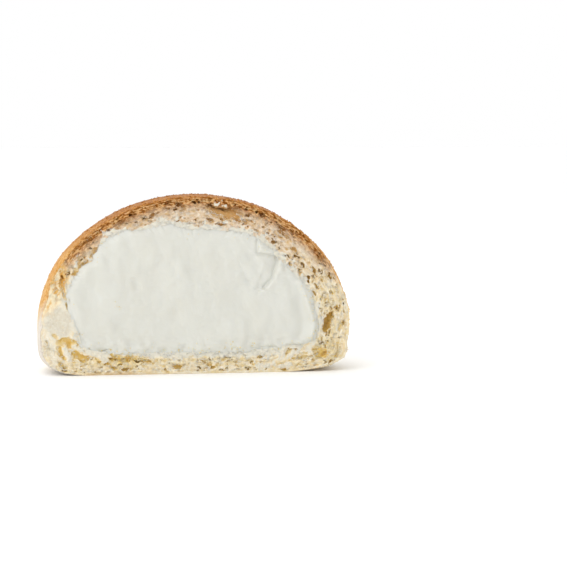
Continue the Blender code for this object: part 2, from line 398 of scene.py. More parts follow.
def makePocket():
    middle = np.array(cream["centre"])
    atCut = math.sqrt(1 - (bun["cut"] / cream["reach"]) ** 2)
    around, reach = pocketSize["around"], cream["reach"] * pocketSize["share"]
    edge = np.array([outlinePoint(i / around) for i in range(around)])
    rings = []
    for angle in np.linspace(0, math.pi, pocketSize["rings"])[1:-1]:
        ring = middle + (edge - middle) * (math.sin(angle) / atCut) * pocketSize["share"]
        depth = np.full(around, -reach * math.cos(angle))
        rings.append(np.column_stack([ring[:, 0], depth, ring[:, 1]]))
    ends = [(middle[0], side * reach, middle[1]) for side in (-1, 1)]
    return stackRings("pocket", ends[0], rings, ends[1])


def makeOutlineEdges(steps=400):
    # the cream's outline on the cut, as plain edges
    bm = bmesh.new()
    ring = [outlinePoint(i / steps) for i in range(steps)]
    verts = [bm.verts.new((x * mm, bun["cut"] * mm, z * mm)) for x, z in ring]
    for a, b in zip(verts, verts[1:] + verts[:1]):
        bm.edges.new((a, b))
    return toObject("creamEdge", bm)


# What the knife laid open: sizes in mm
crumb = {
    "voxel": (0.235, 0.34, 0.235),
    "low": (-50.0, -9.6, -1.0),
    "high": (50.0, -3.6, 55.5),
    "roughFront": 1.5,
    "ringMiddle": 14.0,  # the cells follow the crust round this height above the base
    "ringRadius": 40.0,
    "flatBelow": 9.0,  # under this height they lie along the base
    "bigCell": (3.2, 1.7, 2.3),  # along the crust, in from it, into the cut
    "bigPore": (0.1, 0.45),
    "bigReach": 1.3,
    "smallCell": (1.4, 0.8, 1.1),
    "wall": (0.04, 0.2),  # half thickness of the walls between the small cells
    "smallReach": (-0.4, 0.82),  # a cell with a reach under 0 stays shut
    "creamBody": (31.0, 1.0, 12.5),  # no cells are needed inside this oval of the cream
    "crust": (0.1, 0.9),  # cells are fewer in the crust's outer skin, all of them from here in
    "calmBeside": (0.4, 2.4, 0.2, 1.0),  # the front is calmer within 2.4 mm of the cream
    "bend": (3.4, 1.5, 3.4),  # mm that holes and patches are bent
    "warp": (1.3, 1.3, 1.3),  # cells that their rows wander
    "more": (1.5, 0.12, 0.5),  # what a torn patch adds to a pore's reach, a cell's size and reach
    "flush": (-0.9, 0.3, 0.6, 0.0),  # right beside the cream they are filled up
    "smallestBit": 120,  # faces of the smallest bit of crumb that stays
    "seed": 3.0,
}

# Large gas holes: across, up, half length, half width, depth in mm, tilt in degrees
gasHoles = (
    (8.6, 48.8, 6.0, 2.4, 1.3, -12.0),
    (7.2, 50.2, 4.4, 1.1, 2.6, -8.0),
    (40.1, 15.3, 3.8, 1.3, 3.6, 68.0),
    (38.4, 5.4, 2.4, 1.4, 1.1, 5.0),
    (44.0, 14.0, 2.6, 0.6, 0.6, 80.0),
    (-38.5, 9.6, 4.5, 1.5, 1.2, -12.0),
    (-35.0, 5.9, 2.8, 1.8, 1.4, -25.0),
    (-40.9, 7.0, 2.6, 1.1, 1.2, -75.0),
    (-43.0, 6.7, 0.7, 0.55, 0.6, 60.0),
    (-37.2, 3.3, 1.0, 0.5, 0.6, 0.0),
    (-34.0, 3.3, 1.0, 0.5, 0.6, 10.0),
    (-42.7, 12.0, 0.95, 0.6, 0.7, -15.0),
    (-39.0, 21.1, 1.5, 0.65, 0.9, -72.0),
    (-40.2, 27.0, 4.4, 0.9, 0.7, -82.0),
    (-42.4, 25.4, 2.0, 0.6, 0.5, -85.0),
    (-36.6, 31.0, 1.4, 0.9, 0.9, 40.0),
    (-34.4, 33.4, 2.2, 0.9, 0.9, 42.0),
    (-30.0, 37.2, 3.0, 1.3, 0.8, 42.0),
    (-26.8, 40.4, 1.6, 0.9, 0.7, 40.0),
    (-25.0, 6.0, 2.6, 0.8, 0.9, -30.0),
    (-20.4, 5.2, 1.4, 1.0, 1.0, 10.0),
    (-17.2, 41.9, 0.9, 0.8, 0.9, 0.0),
    (-6.2, 46.6, 0.8, 0.4, 0.9, 0.0),
    (-4.2, 50.3, 1.1, 0.9, 0.9, 40.0),
    (-0.6, 46.7, 0.9, 0.35, 0.9, 0.0),
    (4.2, 46.2, 1.5, 0.5, 1.3, -22.0),
    (7.6, 45.1, 1.4, 0.45, 1.2, -12.0),
    (15.0, 45.8, 1.3, 1.1, 0.8, 0.0),
    (26.2, 43.8, 1.5, 0.8, 1.2, -30.0),
    (27.6, 41.0, 0.9, 0.4, 0.9, -35.0),
    (30.6, 36.0, 1.2, 0.5, 1.0, -50.0),
    (28.5, 32.7, 0.9, 0.7, 0.9, -40.0),
    (31.5, 30.2, 1.1, 0.6, 0.9, -50.0),
    (41.2, 34.6, 3.4, 0.45, 0.9, -56.0),
    (27.4, 6.2, 1.6, 1.0, 1.0, 20.0),
)

# Where the tear left more hollows, or fewer under a film of cream: across, up, half length,
# half width in mm, tilt in degrees, and how much more (or less, if negative)
tornPatches = (
    (-45.2, 24.1, 1.9, 4.6, 0.0, -0.8),
    (-41.8, 23.2, 2.6, 3.4, 0.0, -0.9),
    (-40.4, 26.5, 1.9, 6.0, -16.0, 0.15),
    (-43.8, 6.6, 3.4, 6.4, 0.0, -0.6),
    (-31.5, 36.0, 6.4, 2.6, 45.0, 0.6),
    (-37.2, 36.0, 3.8, 1.6, 48.0, -0.8),
    (-43.9, 18.1, 1.6, 1.0, 0.0, 0.9),
    (-23.0, 4.8, 8.0, 2.7, 0.0, 1.1),
    (8.0, 3.0, 12.0, 2.2, 0.0, 0.2),
    (39.2, 7.3, 6.0, 5.0, 0.0, 0.4),
    (41.5, 19.4, 3.0, 7.0, 0.0, 0.2),
    (-19.3, 45.0, 6.0, 2.4, 20.0, 0.4),
    (33.0, 33.0, 7.0, 2.4, -50.0, 0.15),
    (26.2, 45.5, 4.0, 2.4, -30.0, -0.5),
    (32.8, 37.4, 3.2, 1.8, -48.0, -0.6),
    (-42.0, 28.6, 0.9, 3.0, -16.0, -0.5),
    (-29.4, 6.2, 3.6, 1.3, -25.0, -1.0),
    (-8.0, 7.0, 24.0, 1.6, 0.0, -0.7),
    (22.0, 6.4, 9.0, 1.8, 0.0, -0.6),
)

# Cream that the knife dragged over the crumb: across, up and half width in mm along each stroke
creamStrokes = (
    ((-40.0, 8.3, 0.4), (-39.2, 6.6, 0.65), (-38.5, 5.0, 0.4)),
    ((-37.0, 8.9, 0.05), (-35.2, 8.0, 0.15), (-33.3, 6.7, 0.1)),
    ((-33.6, 8.4, 0.4), (-31.2, 6.6, 0.6), (-27.6, 4.4, 0.2)),
    ((26.6, 7.6, 0.9), (26.0, 5.2, 0.7), (24.7, 3.3, 0.5), (22.2, 2.1, 0.35), (20.4, 1.9, 0.15)),
    ((18.0, 3.0, 0.4), (18.8, 1.8, 0.5), (19.5, 0.9, 0.25)),
    ((25.4, 1.7, 0.15), (28.3, 2.3, 0.3)),
    ((29.3, 5.8, 0.4), (27.7, 4.2, 0.25)),
    ((35.2, 8.6, 0.6), (34.0, 6.4, 0.25)),
    ((6.0, 51.1, 0.1), (7.6, 51.3, 0.3), (8.8, 50.9, 0.1)),
)
strokeRound = 1.15  # radius of every stroke; a narrow one is sunk until it shows this wide
smearPatch = {
    "middle": (-41.8, 15.6),  # a thin coat of cream low on the left
    "size": (4.6, 1.0, 6.4),
    "edge": (1.7, 1.2),  # none outside this share of its size, all of it inside this one
    "thickness": 1.6,
}


def ovalShare(add, place, middle, size, tilt=0.0):
    # 0 in the middle of an oval on the cut face and 1 on its edge. Its size is its half length,
    # depth and half width in mm, its tilt in degrees
    away = add("VectorMath SUBTRACT", (place, (middle[0], bun["cut"], middle[1])))
    away = add("VectorRotate", {"Vector": away, "Axis": (0.0, 1.0, 0.0), "Angle": math.radians(tilt)})
    away = add("VectorMath DIVIDE", (away, size))
    return add("VectorMath LENGTH", (away,), 1)


def mmAway(add, target, elements, spot=None):
    # distance in mm from a mesh or from the mesh of an object
    if target.type == "OBJECT":
        target = add("ObjectInfo", {0: target}, "Geometry")
    away = add("Proximity", {"Target": target, "Sample Position": spot}, 1, target_element=elements)
    return add("Math MULTIPLY", (away, 1 / mm))


def crumbTree(material):
    tree, given, add = newTree("openCrumb", {
        "Loaf": "Geometry", "Pocket": "Object", "Cream edge": "Object", "Cream strokes": "Object",
        "Pore reach": "Float", "Front roughness": "Float", "Seed": "Float",
    })
    place = add("VectorMath SCALE", {0: add("InputPosition"), "Scale": 1 / mm})
    x, y, z = add("SeparateXYZ", (place,), (0, 1, 2))
    shifted = add("CombineXYZ", (given["Seed"],) * 3)
    shifted = add("VectorMath ADD", (place, shifted))

    # distance in from the crust, and from the cream's outline, over the cut face
    skin = mmAway(add, given["Loaf"], "FACES")
    onFaceMm = add("CombineXYZ", (x, bun["cut"], z))
    onFace = add("VectorMath SCALE", {0: onFaceMm, "Scale": mm})
    beside = mmAway(add, given["Cream edge"], "EDGES", onFace)

    # the rough plane that the knife left
    front = add("TexNoise", {"Vector": shifted, "Scale": 0.5, "Detail": 4.0, "Roughness": 0.65})
    front = add("Math ADD", (front, -0.5))
    calm = add("MapRange", (beside, *crumb["calmBeside"]))
    calm = add("Math MULTIPLY", (calm, given["Front roughness"]))
    front = add("Math MULTIPLY_ADD", (front, calm, bun["cut"]))
    deep = add("Math SUBTRACT", (y, front))  # mm behind it

    # where cream was dragged over the crumb
    stroke = mmAway(add, given["Cream strokes"], "EDGES")
    wobble = add("TexNoise", {"Vector": shifted, "Scale": 1.1, "Detail": 3.0})
    stroke = add("Math MULTIPLY_ADD", (wobble, -1.8, stroke))
    stroke = add("Math SUBTRACT", (strokeRound - 0.9, stroke))
    patch = ovalShare(add, onFaceMm, smearPatch["middle"], smearPatch["size"])
    torn = add("TexNoise", {"Vector": shifted, "Scale": 0.35, "Detail": 4.0})
    patch = add("Math MULTIPLY_ADD", (torn, 0.9, patch))
    smear = add("MapRange", (patch, *smearPatch["edge"]))

    # places are bent a little, so that no hole or patch is a clean oval
    bent = add("TexNoise", {"Vector": shifted, "Scale": 0.45, "Detail": 4.0, "Roughness": 0.6}, 1)
    bent = add("VectorMath SUBTRACT", (bent, (0.5, 0.5, 0.5)))
    bent = add("VectorMath MULTIPLY_ADD", (bent, crumb["bend"], place))
    more = 0.0
    for across, up, halfLength, halfWidth, tilt, amount in tornPatches:
        away = ovalShare(add, bent, (across, up), (halfLength, 100.0, halfWidth), tilt)
        share = add("MapRange", (away, 1.3, 0.5))
        more = add("Math MULTIPLY_ADD", (share, amount, more))

    # mm along the crust, so that cells and fibres can be drawn out that way
    rise = add("Math SUBTRACT", (z, crumb["ringMiddle"]))
    along = add("Math ARCTAN2", (x, rise))
    along = add("Math MULTIPLY", (along, crumb["ringRadius"]))
    flat = add("Math LESS_THAN", (z, crumb["flatBelow"]))
    along = add("Mix", {0: flat, 2: along, 3: x}, data_type="FLOAT")
    warp = add("TexNoise", {"Vector": shifted, "Scale": 0.35, "Detail": 3.0}, 1)
    wheres = []
    for cell in (crumb["bigCell"], crumb["smallCell"]):
        where = add("CombineXYZ", (along, skin, y))
        where = add("VectorMath DIVIDE", (where, cell))
        wheres.append(add("VectorMath MULTIPLY_ADD", (warp, crumb["warp"], where)))

    # large round pores
    hue, distance = add("TexVoronoi", {"Vector": wheres[0], "Scale": 1.0}, ("Color", "Distance"))
    size = add("MapRange", (hue, 0.2, 0.8, *crumb["bigPore"]))
    pores = add("Math SUBTRACT", (size, distance))
    pores = add("Math MULTIPLY", (pores, crumb["bigCell"][1]))
    reach = add("Math MULTIPLY_ADD", (more, crumb["more"][0], given["Pore reach"]))
    reach = add("Math SUBTRACT", (reach, deep))
    pores = add("Math MINIMUM", (pores, reach))

    # small cells with thin walls, shallow ones and deep ones
    hue = add("TexVoronoi", {"Vector": wheres[1], "Scale": 1.0}, "Color")
    wallAway = add("TexVoronoi", {"Vector": wheres[1], "Scale": 1.0}, feature="DISTANCE_TO_EDGE")
    wallAway = add("Math MULTIPLY", (wallAway, crumb["smallCell"][1]))
    wall = add("MapRange", (wobble, 0.35, 0.65, *crumb["wall"]))
    cells = add("Math SUBTRACT", (wallAway, wall))
    cells = add("Math MULTIPLY_ADD", (more, crumb["more"][1], cells))
    reach = add("MapRange", (hue, 0.2, 0.8, *crumb["smallReach"]))
    reach = add("Math MULTIPLY_ADD", (more, crumb["more"][2], reach))
    reach = add("Math SUBTRACT", (reach, deep))
    cells = add("Math MINIMUM", (cells, reach))
    cells = add("Math MAXIMUM", (cells, pores))

    # fewer cells in the crust, beside the cream and under the smear, none inside the cream
    firm = add("MapRange", (skin, *crumb["crust"], 0.5, 0.0))
    cells = add("Math SUBTRACT", (cells, firm))
    flush = add("Math MULTIPLY_ADD", (wobble, -2.4, beside))
    flush = add("MapRange", (flush, *crumb["flush"]))
    cells = add("Math SUBTRACT", (cells, flush))
    cells = add("Math MULTIPLY_ADD", (smear, -smearPatch["thickness"], cells))
    body = ovalShare(add, onFaceMm, cream["centre"], crumb["creamBody"])
    body = add("Math LESS_THAN", (body, 1.0))
    cells = add("Math MULTIPLY_ADD", (body, -5.0, cells))
    openAir = add("Math MULTIPLY", (deep, -1.0))
    air = add("Math MAXIMUM", (openAir, cells))

    # the large gas holes
    for across, up, halfLength, halfWidth, depth, tilt in gasHoles:
        away = ovalShare(add, bent, (across, up), (halfLength, depth, halfWidth), tilt)
        hole = add("Math SUBTRACT", (1.0, away))
        hole = add("Math MULTIPLY", (hole, halfWidth))
        air = add("Math MAXIMUM", (air, hole))
    solid = add("Math MULTIPLY", (stroke, -1.0))
    air = add("Math MINIMUM", (air, solid))

    low, high = Vector(crumb["low"]), Vector(crumb["high"])
    counts = [round(side / voxel) for side, voxel in zip(high - low, crumb["voxel"])]
    space = add("VolumeCube", {
        "Density": air, "Background": -1.0, "Min": low * mm, "Max": high * mm,
        "Resolution X": counts[0], "Resolution Y": counts[1], "Resolution Z": counts[2],
    })
    space = add("VolumeToMesh", {"Volume": space, "Threshold": 0.0})
    blocks = knifeBlocks(add, low.y + 0.5, bun["seam"])
    pocket = add("ObjectInfo", {0: given["Pocket"]}, "Geometry")
    bread = add("MeshBoolean DIFFERENCE", {0: given["Loaf"], 1: [*blocks, pocket, space]},
                solver="MANIFOLD")

    # bits that hang on nothing go
    island = add("InputMeshIsland", out="Island Index")
    faces = add("AccumulateField", {0: 1, "Group Index": island}, "Total", data_type="INT", domain="FACE")
    loose = add("Compare LESS_THAN", {2: faces, 3: crumb["smallestBit"]}, data_type="INT")
    bread = add("DeleteGeometry", {0: bread, 1: loose}, domain="FACE")

    touched = add("MapRange", (stroke, -0.35, 0.05))
    smear = add("Math MAXIMUM", (smear, touched))
    endTree(tree, bread, material, skin=skin, deep=deep, beside=beside, smear=smear, along=along,
            more=more)
    return tree


def knifeBlocks(add, front, back):
    # two blocks that leave only what lies between two upright planes, in mm
    side = 130 * mm
    blocks = []
    for middle in (front * mm - side / 2, back * mm + side / 2):
        block = add("MeshCube", {"Size": (side, side, side)})
        blocks.append(add("Transform", {"Geometry": block, "Translation": (0.0, middle, side / 3)}))
    return blocks


def rearTree(material):
    # the loaf behind the seam, all of it crust outside
    tree, given, add = newTree("loafRear", {"Loaf": "Geometry", "Pocket": "Object"})
    block = knifeBlocks(add, bun["seam"], bun["radius"])[0]
    pocket = add("ObjectInfo", {0: given["Pocket"]}, "Geometry")
    bread = add("MeshBoolean DIFFERENCE", {0: given["Loaf"], 1: [block, pocket]}, solver="MANIFOLD")
    endTree(tree, bread, material, skin=0.0, deep=-1.0, beside=50.0)
    return tree


def scatter(add, points, turn, size, fineness=1):
    # a small ball on every point, stretched to this size
    ball = add("MeshIcoSphere", {"Radius": 0.5, "Subdivisions": fineness})
    balls = add("InstanceOnPoints", {"Points": points, "Instance": ball, "Rotation": turn, "Scale": size})
    return add("RealizeInstances", {0: balls})


def bendSurface(add, geometry, rate, amount):
    # moves every point by noise with this many waves a mm
    move = add("VectorMath SCALE", {0: add("InputPosition"), "Scale": rate / mm})
    move = add("TexNoise", {"Vector": move, "Scale": 1.0, "Detail": 1.0}, 1)
    move = add("VectorMath SUBTRACT", (move, (0.5, 0.5, 0.5)))
    move = add("VectorMath SCALE", {0: move, "Scale": amount})
    return add("SetPosition", {"Geometry": geometry, "Offset": move})


def facesOut(add, place, normal):
    # above 0 where the crust's outside is, not the pocket or a cut
    away = add("VectorMath SUBTRACT", (place, (0.0, 0.0, 20 * mm)))
    return add("VectorMath DOT_PRODUCT", (away, normal), 1)


# Torn fibres on the crumb, and scales on the crust beside the cut. Sizes in mm
tufts = {
    "perSquareMm": 2.0,
    "length": (0.4, 1.4),
    "width": (0.14, 0.36),
    "lowest": 0.8,
    "facing": 0.15,  # on the crumb, least share of facing the viewer
    "deepest": 1.1,
    "fromSkin": 0.12,
    "mostSmear": 0.3,
    "crustTo": 5.0,  # on the crust they stand in front of this
    "crustFrom": (20.0, 26.0),  # and none below, all of them above these heights
    "besideCut": 1.7,  # at any height this near to the cut
    "onCrust": 1.3,  # per square mm, right beside the cut
    "lean": 0.6,  # radians that a flake may turn away from the crust's direction
    "bend": 0.16,
    "seed": 11,
}


def tuftTree(material):
    tree, given, add = newTree("crumbTufts", {
        "Bread": "Geometry", "On crumb": "Float", "On crust": "Float", "Shortest": "Vector",
        "Longest": "Vector", "Lean": "Float", "Bend": "Float", "Seed": "Int",
    })
    # on the face that the knife left, but not in its deep pores
    place = add("InputPosition")
    normal = add("InputNormal")
    facing = add("VectorMath DOT_PRODUCT", (normal, (0.0, -1.0, 0.0)), 1)
    facing = add("Math GREATER_THAN", (facing, tufts["facing"]))
    x, y, z = add("SeparateXYZ", (place,), (0, 1, 2))
    aboveFoot = add("Math GREATER_THAN", (z, tufts["lowest"] * mm))
    deep, skin, smear = (add("InputNamedAttribute", {0: name}, data_type="FLOAT")
                         for name in ("deep", "skin", "smear"))
    shallow = add("Math LESS_THAN", (deep, tufts["deepest"]))
    inside = add("Math GREATER_THAN", (skin, tufts["fromSkin"]))
    bare = add("Math LESS_THAN", (smear, tufts["mostSmear"]))
    onCrumb = add("Math MULTIPLY", (facing, inside))
    onCrumb = add("Math MULTIPLY", (onCrumb, given["On crumb"]))
    # and on the crust beside it, thinning out backwards and downwards
    outward = add("Math GREATER_THAN", (facesOut(add, place, normal), 5 * mm))
    share = add("MapRange", (y, tufts["crustTo"] * mm, bun["cut"] * mm, 0.0, 1.0))
    onCrust = add("Math MULTIPLY", (share, outward))
    atCut = add("Math LESS_THAN", (y, (bun["cut"] + tufts["besideCut"]) * mm))
    high = add("MapRange", (z, tufts["crustFrom"][0] * mm, tufts["crustFrom"][1] * mm))
    high = add("Math MAXIMUM", (high, atCut))
    onCrust = add("Math MULTIPLY", (onCrust, high))
    onCrust = add("Math MULTIPLY", (onCrust, given["On crust"]))
    density = add("Math MAXIMUM", (onCrumb, onCrust))
    for test in (shallow, bare, aboveFoot):
        density = add("Math MULTIPLY", (density, test))
    points = add("DistributePointsOnFaces", {
        "Mesh": given["Bread"], "Density": density, "Seed": given["Seed"]})
    # laid along the crust, each a little askew
    rise = add("Math SUBTRACT", (z, crumb["ringMiddle"] * mm))
    back = add("Math MULTIPLY", (x, -1.0))
    way = add("CombineXYZ", (rise, 0.0, back))
    flat = add("Math LESS_THAN", (z, crumb["flatBelow"] * mm))
    way = add("Mix", {0: flat, 4: way, 5: (1.0, 0.0, 0.0)}, 1, data_type="VECTOR")
    turn = add("AlignRotationToVector", {"Vector": way}, axis="X")
    leans = [add("VectorMath SCALE", {0: (side,) * 3, "Scale": given["Lean"]}) for side in (-1.0, 1.0)]
    askew = add("RandomValue", {0: leans[0], 1: leans[1], "Seed": given["Seed"]},
                data_type="FLOAT_VECTOR")
    turn = add("RotateRotation", {0: turn, 1: askew}, rotation_space="LOCAL")
    size = add("RandomValue", {0: given["Shortest"], 1: given["Longest"], "Seed": given["Seed"]},
               data_type="FLOAT_VECTOR")
    flakes = bendSurface(add, scatter(add, points, turn, size), 1.6, given["Bend"])
    endTree(tree, flakes, material, deep=-0.3)
    return tree


def makeStrokes():
    bm = bmesh.new()
    for stroke in creamStrokes:
        verts = []
        for x, z, halfWidth in stroke:
            sunk = math.sqrt(strokeRound ** 2 - halfWidth ** 2)
            verts.append(bm.verts.new((x * mm, (bun["cut"] + sunk) * mm, z * mm)))
        for a, b in zip(verts, verts[1:]):
            bm.edges.new((a, b))
    return toObject("creamStrokes", bm)


breadMesh = {
    "triangles": 192000,  # of the cut end
    "sharpFrom": 75.0,  # degrees; only the seam's edge is sharper
}


def makeBread(material):
    tools = {"Pocket": makePocket(), "Cream edge": makeOutlineEdges(), "Cream strokes": makeStrokes()}
    rear = makeLoaf()
    cutEnd = newObject("crumbFace", rear.data.copy())
    rear = useTree(rear, rearTree(material), {"Pocket": tools["Pocket"]})
    rear.name = "loafRear"
    cutEnd = useTree(cutEnd, crumbTree(material), {
        "Pore reach": crumb["bigReach"], "Front roughness": crumb["roughFront"],
        "Seed": crumb["seed"], **tools,
    })
    for tool in tools.values():
        bpy.data.objects.remove(tool)
    flakes = []
    for name, under in (("crumbTufts", cutEnd), ("crustFlakes", rear)):
        flakes.append(useTree(newObject(name, under.data), tuftTree(material), {
            "On crumb": tufts["perSquareMm"] / mm ** 2 * (under is cutEnd),
            "On crust": tufts["onCrust"] / mm ** 2,
            "Shortest": [tufts["length"][0] * mm] + [tufts["width"][0] * mm] * 2,
            "Longest": [tufts["length"][1] * mm] + [tufts["width"][1] * mm] * 2,
            "Lean": tufts["lean"], "Bend": tufts["bend"] * mm, "Seed": tufts["seed"],
        }))
    cutEnd.data.calc_loop_triangles()
    count = len(cutEnd.data.loop_triangles)
    print("cut end before thinning:", count)
    thin = cutEnd.modifiers.new("thin", "DECIMATE")
    thin.ratio = min(1.0, breadMesh["triangles"] / count)
    bakeModifiers(cutEnd)
    for piece in (rear, cutEnd, *flakes):
        piece.data.shade_smooth()
        piece.data.set_sharp_from_angle(angle=math.radians(breadMesh["sharpFrom"]))
    return rear, cutEnd, *flakes


# Soft white bread crumb and its glossy browned crust: starchy, matt and a little see-through
# inside, thin and satin outside, darkest on top where the oven's heat reached it first
bread = {
    "crustByHeight": (  # share of the bun's height, colour
        (0.0, "#cfb68b"), (0.04, "#dfd0ac"), (0.12, "#e3d7b9"), (0.24, "#e0cca1"),
        (0.36, "#dcba7f"), (0.5, "#d6a867"), (0.64, "#c9924f"), (0.8, "#b67b39"), (1.0, "#925d27"),
    ),
    "crustMottle": (15.0, 7.0, 5.5),  # mm that broad, upright and fine patches shift the browning
    # painted shade: the folds' grooves are darkened towards this colour
    "foldGrooveShade": "#a5813a",
    "blisterColour": "#e6c193",
    # crumb from a pale cell wall to the painted shade of a hollow's floor, low down and at the top
    "low": ((0.0, "#ede5d2"), (0.32, "#e5d5b3"), (0.7, "#e1cb96"), (1.0, "#dab96c")),
    "top": ((0.0, "#e9dcc9"), (0.32, "#d9c1a2"), (0.7, "#d0b083"), (1.0, "#c2975e")),
    "gold": ((0.0, "#ecdfc0"), (0.35, "#e2b870"), (1.0, "#d49c48")),
    "rim": ((0.0, "#d8ae78"), (0.35, "#b88047"), (0.7, "#925b24"), (1.0, "#794917")),
    "edge": ((0.0, "#d9a35c"), (0.5, "#b5742f"), (1.0, "#7d4918")),  # crust's torn edge
    "goldEdge": ((0.0, "#e6c58a"), (0.5, "#d59e51"), (1.0, "#c08236")),
    "wipedCrust": ("#ddd9cf", "#d7cabc"),
    "baseLine": "#d0b68c",
    "baseBand": (1.6, 2.6),
    "baseShare": (-20.0, -10.0, 1.0, 0.1),  # strong left of the first place, faint right of both
    "film": ("#e0dbcc", "#d2cab8"),  # cream wiped over the crumb, and the smear low on the left
    "goldBand": (-44.8, 27.0, 11.5),  # across, up and radius in mm
    "goldDeep": 5.4,
    "rimReach": 2.3,  # mm in from the crust that the browning reaches at the top
    "deepest": 1.1,  # mm down a pore to its deepest painted shade
    "fibre": (1.0, 0.42, 0.6),  # mm along the crust, in from it and into the cut
    "rimFlake": (1.5, 0.5, 0.8),
    # where each of these begins and where it is full, in mm, along a height or place that
    # patches of noise shift
    "browned": (31.0, 43.0),
    "topTint": (20.0, 42.0),
    "golden": (6.5, 4.0),
    "flakedTop": (39.0, 52.0),
    "ripped": (-6.0, -14.5),
    "wipedUpTo": (26.5, 17.5),
    "wipedBack": (16.0, 5.0),
    "wipedAcross": (-28.0, -36.0),
    "shineFrom": (-2.0, 14.0),  # matt by the cut
    "shine": (0.08, 0.45),
    "roughness": (0.85, 0.48),  # of the crumb and of the crust
}


def breadMaterial():
    material, shader = newMaterial("bakedBread")
    add = partial(addNode, material.node_tree)
    skin, deep, beside, smear, along, more, fold, blister = (
        add("Attribute", out="Fac", attribute_name=name)
        for name in ("skin", "deep", "beside", "smear", "along", "more", "fold", "blister")
    )
    place = add("TexCoord", out="Object")
    place = add("VectorMath SCALE", {0: place, "Scale": 1 / mm})
    x, y, height = add("SeparateXYZ", (place,), (0, 1, 2))
    broad = add("TexNoise", {"Vector": place, "Scale": 0.06, "Detail": 3.0})

    # the crust from outside
    fine = add("TexNoise", {"Vector": place, "Scale": 1.4, "Detail": 4.0, "Roughness": 0.6})
    upright = add("VectorMath MULTIPLY", (place, (0.22, 0.22, 0.05)))
    upright = add("TexNoise", {"Vector": upright, "Scale": 1.0, "Detail": 4.0})
    level = height
    for patches, amount in zip((broad, upright, fine), bread["crustMottle"]):
        level = add("Math MULTIPLY_ADD", (patches, amount, level))
    least = sum(bread["crustMottle"]) / 2
    level = add("MapRange", (level, least, bun["height"] + least))
    crust = add("ValToRGB", (level,), stops=bread["crustByHeight"])
    # painted shade in the folds' grooves, darkest where they are deepest
    fold = add("MapRange", (fold, 0.25, 1.1, 0.0, 0.75))
    crust = add("Mix", {0: fold, 6: crust, 7: linear(bread["foldGrooveShade"])}, 2, data_type="RGBA")
    blister = add("Math MULTIPLY", (blister, 0.45))
    crust = add("Mix", {0: blister, 6: crust, 7: linear(bread["blisterColour"])}, 2, data_type="RGBA")

    # fibres of the crumb, drawn out along the crust
    fibrePlace = add("CombineXYZ", (along, skin, y))
    fibre = add("VectorMath DIVIDE", (fibrePlace, bread["fibre"]))
    fibre = add("TexNoise", {"Vector": fibre, "Scale": 0.55, "Detail": 4.0, "Roughness": 0.65,
                             "Distortion": 0.4})
    # painted shade: the crumb's colour darkens and turns golden down each pore, on top of its fibres' own
    # tone
    sunk = add("MapRange", {0: deep, 1: 0.0, 2: bread["deepest"], 4: 1.8})
    grainAndPitShade = add("Math MULTIPLY_ADD", (fibre, 3.4, sunk))
    grainAndPitShade = add("Math MULTIPLY_ADD", (more, 0.45, grainAndPitShade))
    grainAndPitShade = add("MapRange", (grainAndPitShade, 1.2, 3.2))
    grainAndPitShade = add("Math MULTIPLY_ADD", (fine, 0.7, grainAndPitShade))
    grainAndPitShade = add("Math SUBTRACT", (grainAndPitShade, 0.38))
    # the sides brown less than the top
    level = add("Math MULTIPLY_ADD", (broad, 16.0, height))
    browned = add("MapRange", (level, *bread["browned"]))
    aside = add("Math ABSOLUTE", (x,))
    top = add("Math MULTIPLY_ADD", (aside, -0.3, level))
    top = add("MapRange", (top, *bread["topTint"]))
    lowColour = add("ValToRGB", (grainAndPitShade,), stops=bread["low"])
    topColour = add("ValToRGB", (grainAndPitShade,), stops=bread["top"])
    inside = add("Mix", {0: top, 6: lowColour, 7: topColour}, 2, data_type="RGBA")

    # browned towards the crust, most at the top
    reach = add("Math MULTIPLY", (browned, bread["rimReach"]))
    ragged = add("Math MULTIPLY_ADD", (fibre, 3.6, skin))
    ragged = add("Math SUBTRACT", (ragged, 1.8))
    ragged = add("Math SUBTRACT", (reach, ragged))
    ragged = add("MapRange", (ragged, -1.9, 0.7))
    ragged = add("Math MULTIPLY", (ragged, browned))
    speck = add("VectorMath DIVIDE", (fibrePlace, bread["rimFlake"]))
    speck = add("TexNoise", {"Vector": speck, "Scale": 1.0, "Detail": 3.0})
    # the rim's colour also darkens down the pores, with the same painted shade
    speck = add("Math MULTIPLY_ADD", (speck, 3.6, grainAndPitShade))
    speck = add("Math SUBTRACT", (speck, 1.7))
    rim = add("ValToRGB", (speck,), stops=bread["rim"])
    inside = add("Mix", {0: ragged, 6: inside, 7: rim}, 2, data_type="RGBA")

    # cream wiped over the high spots beside the filling
    patchy = add("TexNoise", {"Vector": place, "Scale": 0.45, "Detail": 4.0})
    wiped = add("Math MULTIPLY_ADD", (patchy, -9.0, beside))
    wiped = add("Math MULTIPLY_ADD", (more, 2.5, wiped))
    wiped = add("MapRange", (wiped, -3.4, -2.6, 1.0, 0.0))
    high = add("MapRange", (deep, 0.0, 0.35, 1.0, 0.0))
    wiped = add("Math MULTIPLY", (wiped, high))
    coat = add("Math MULTIPLY", (smear, high))
    coat = add("Math MAXIMUM", (coat, wiped))
    worn = add("MapRange", (fine, 0.3, 0.5, 0.5, 1.3))
    coat = add("Math MULTIPLY", (coat, worn))
    coat = add("MapRange", (coat, 0.35, 0.95))
    film = add("Math MULTIPLY_ADD", (fine, -1.6, smear))
    film = add("MapRange", (film, -0.1, 0.4))
    film = add("Mix", {0: film, 6: linear(bread["film"][0]), 7: linear(bread["film"][1])}, 2,
               data_type="RGBA")
    inside = add("Mix", {0: coat, 6: inside, 7: film}, 2, data_type="RGBA")

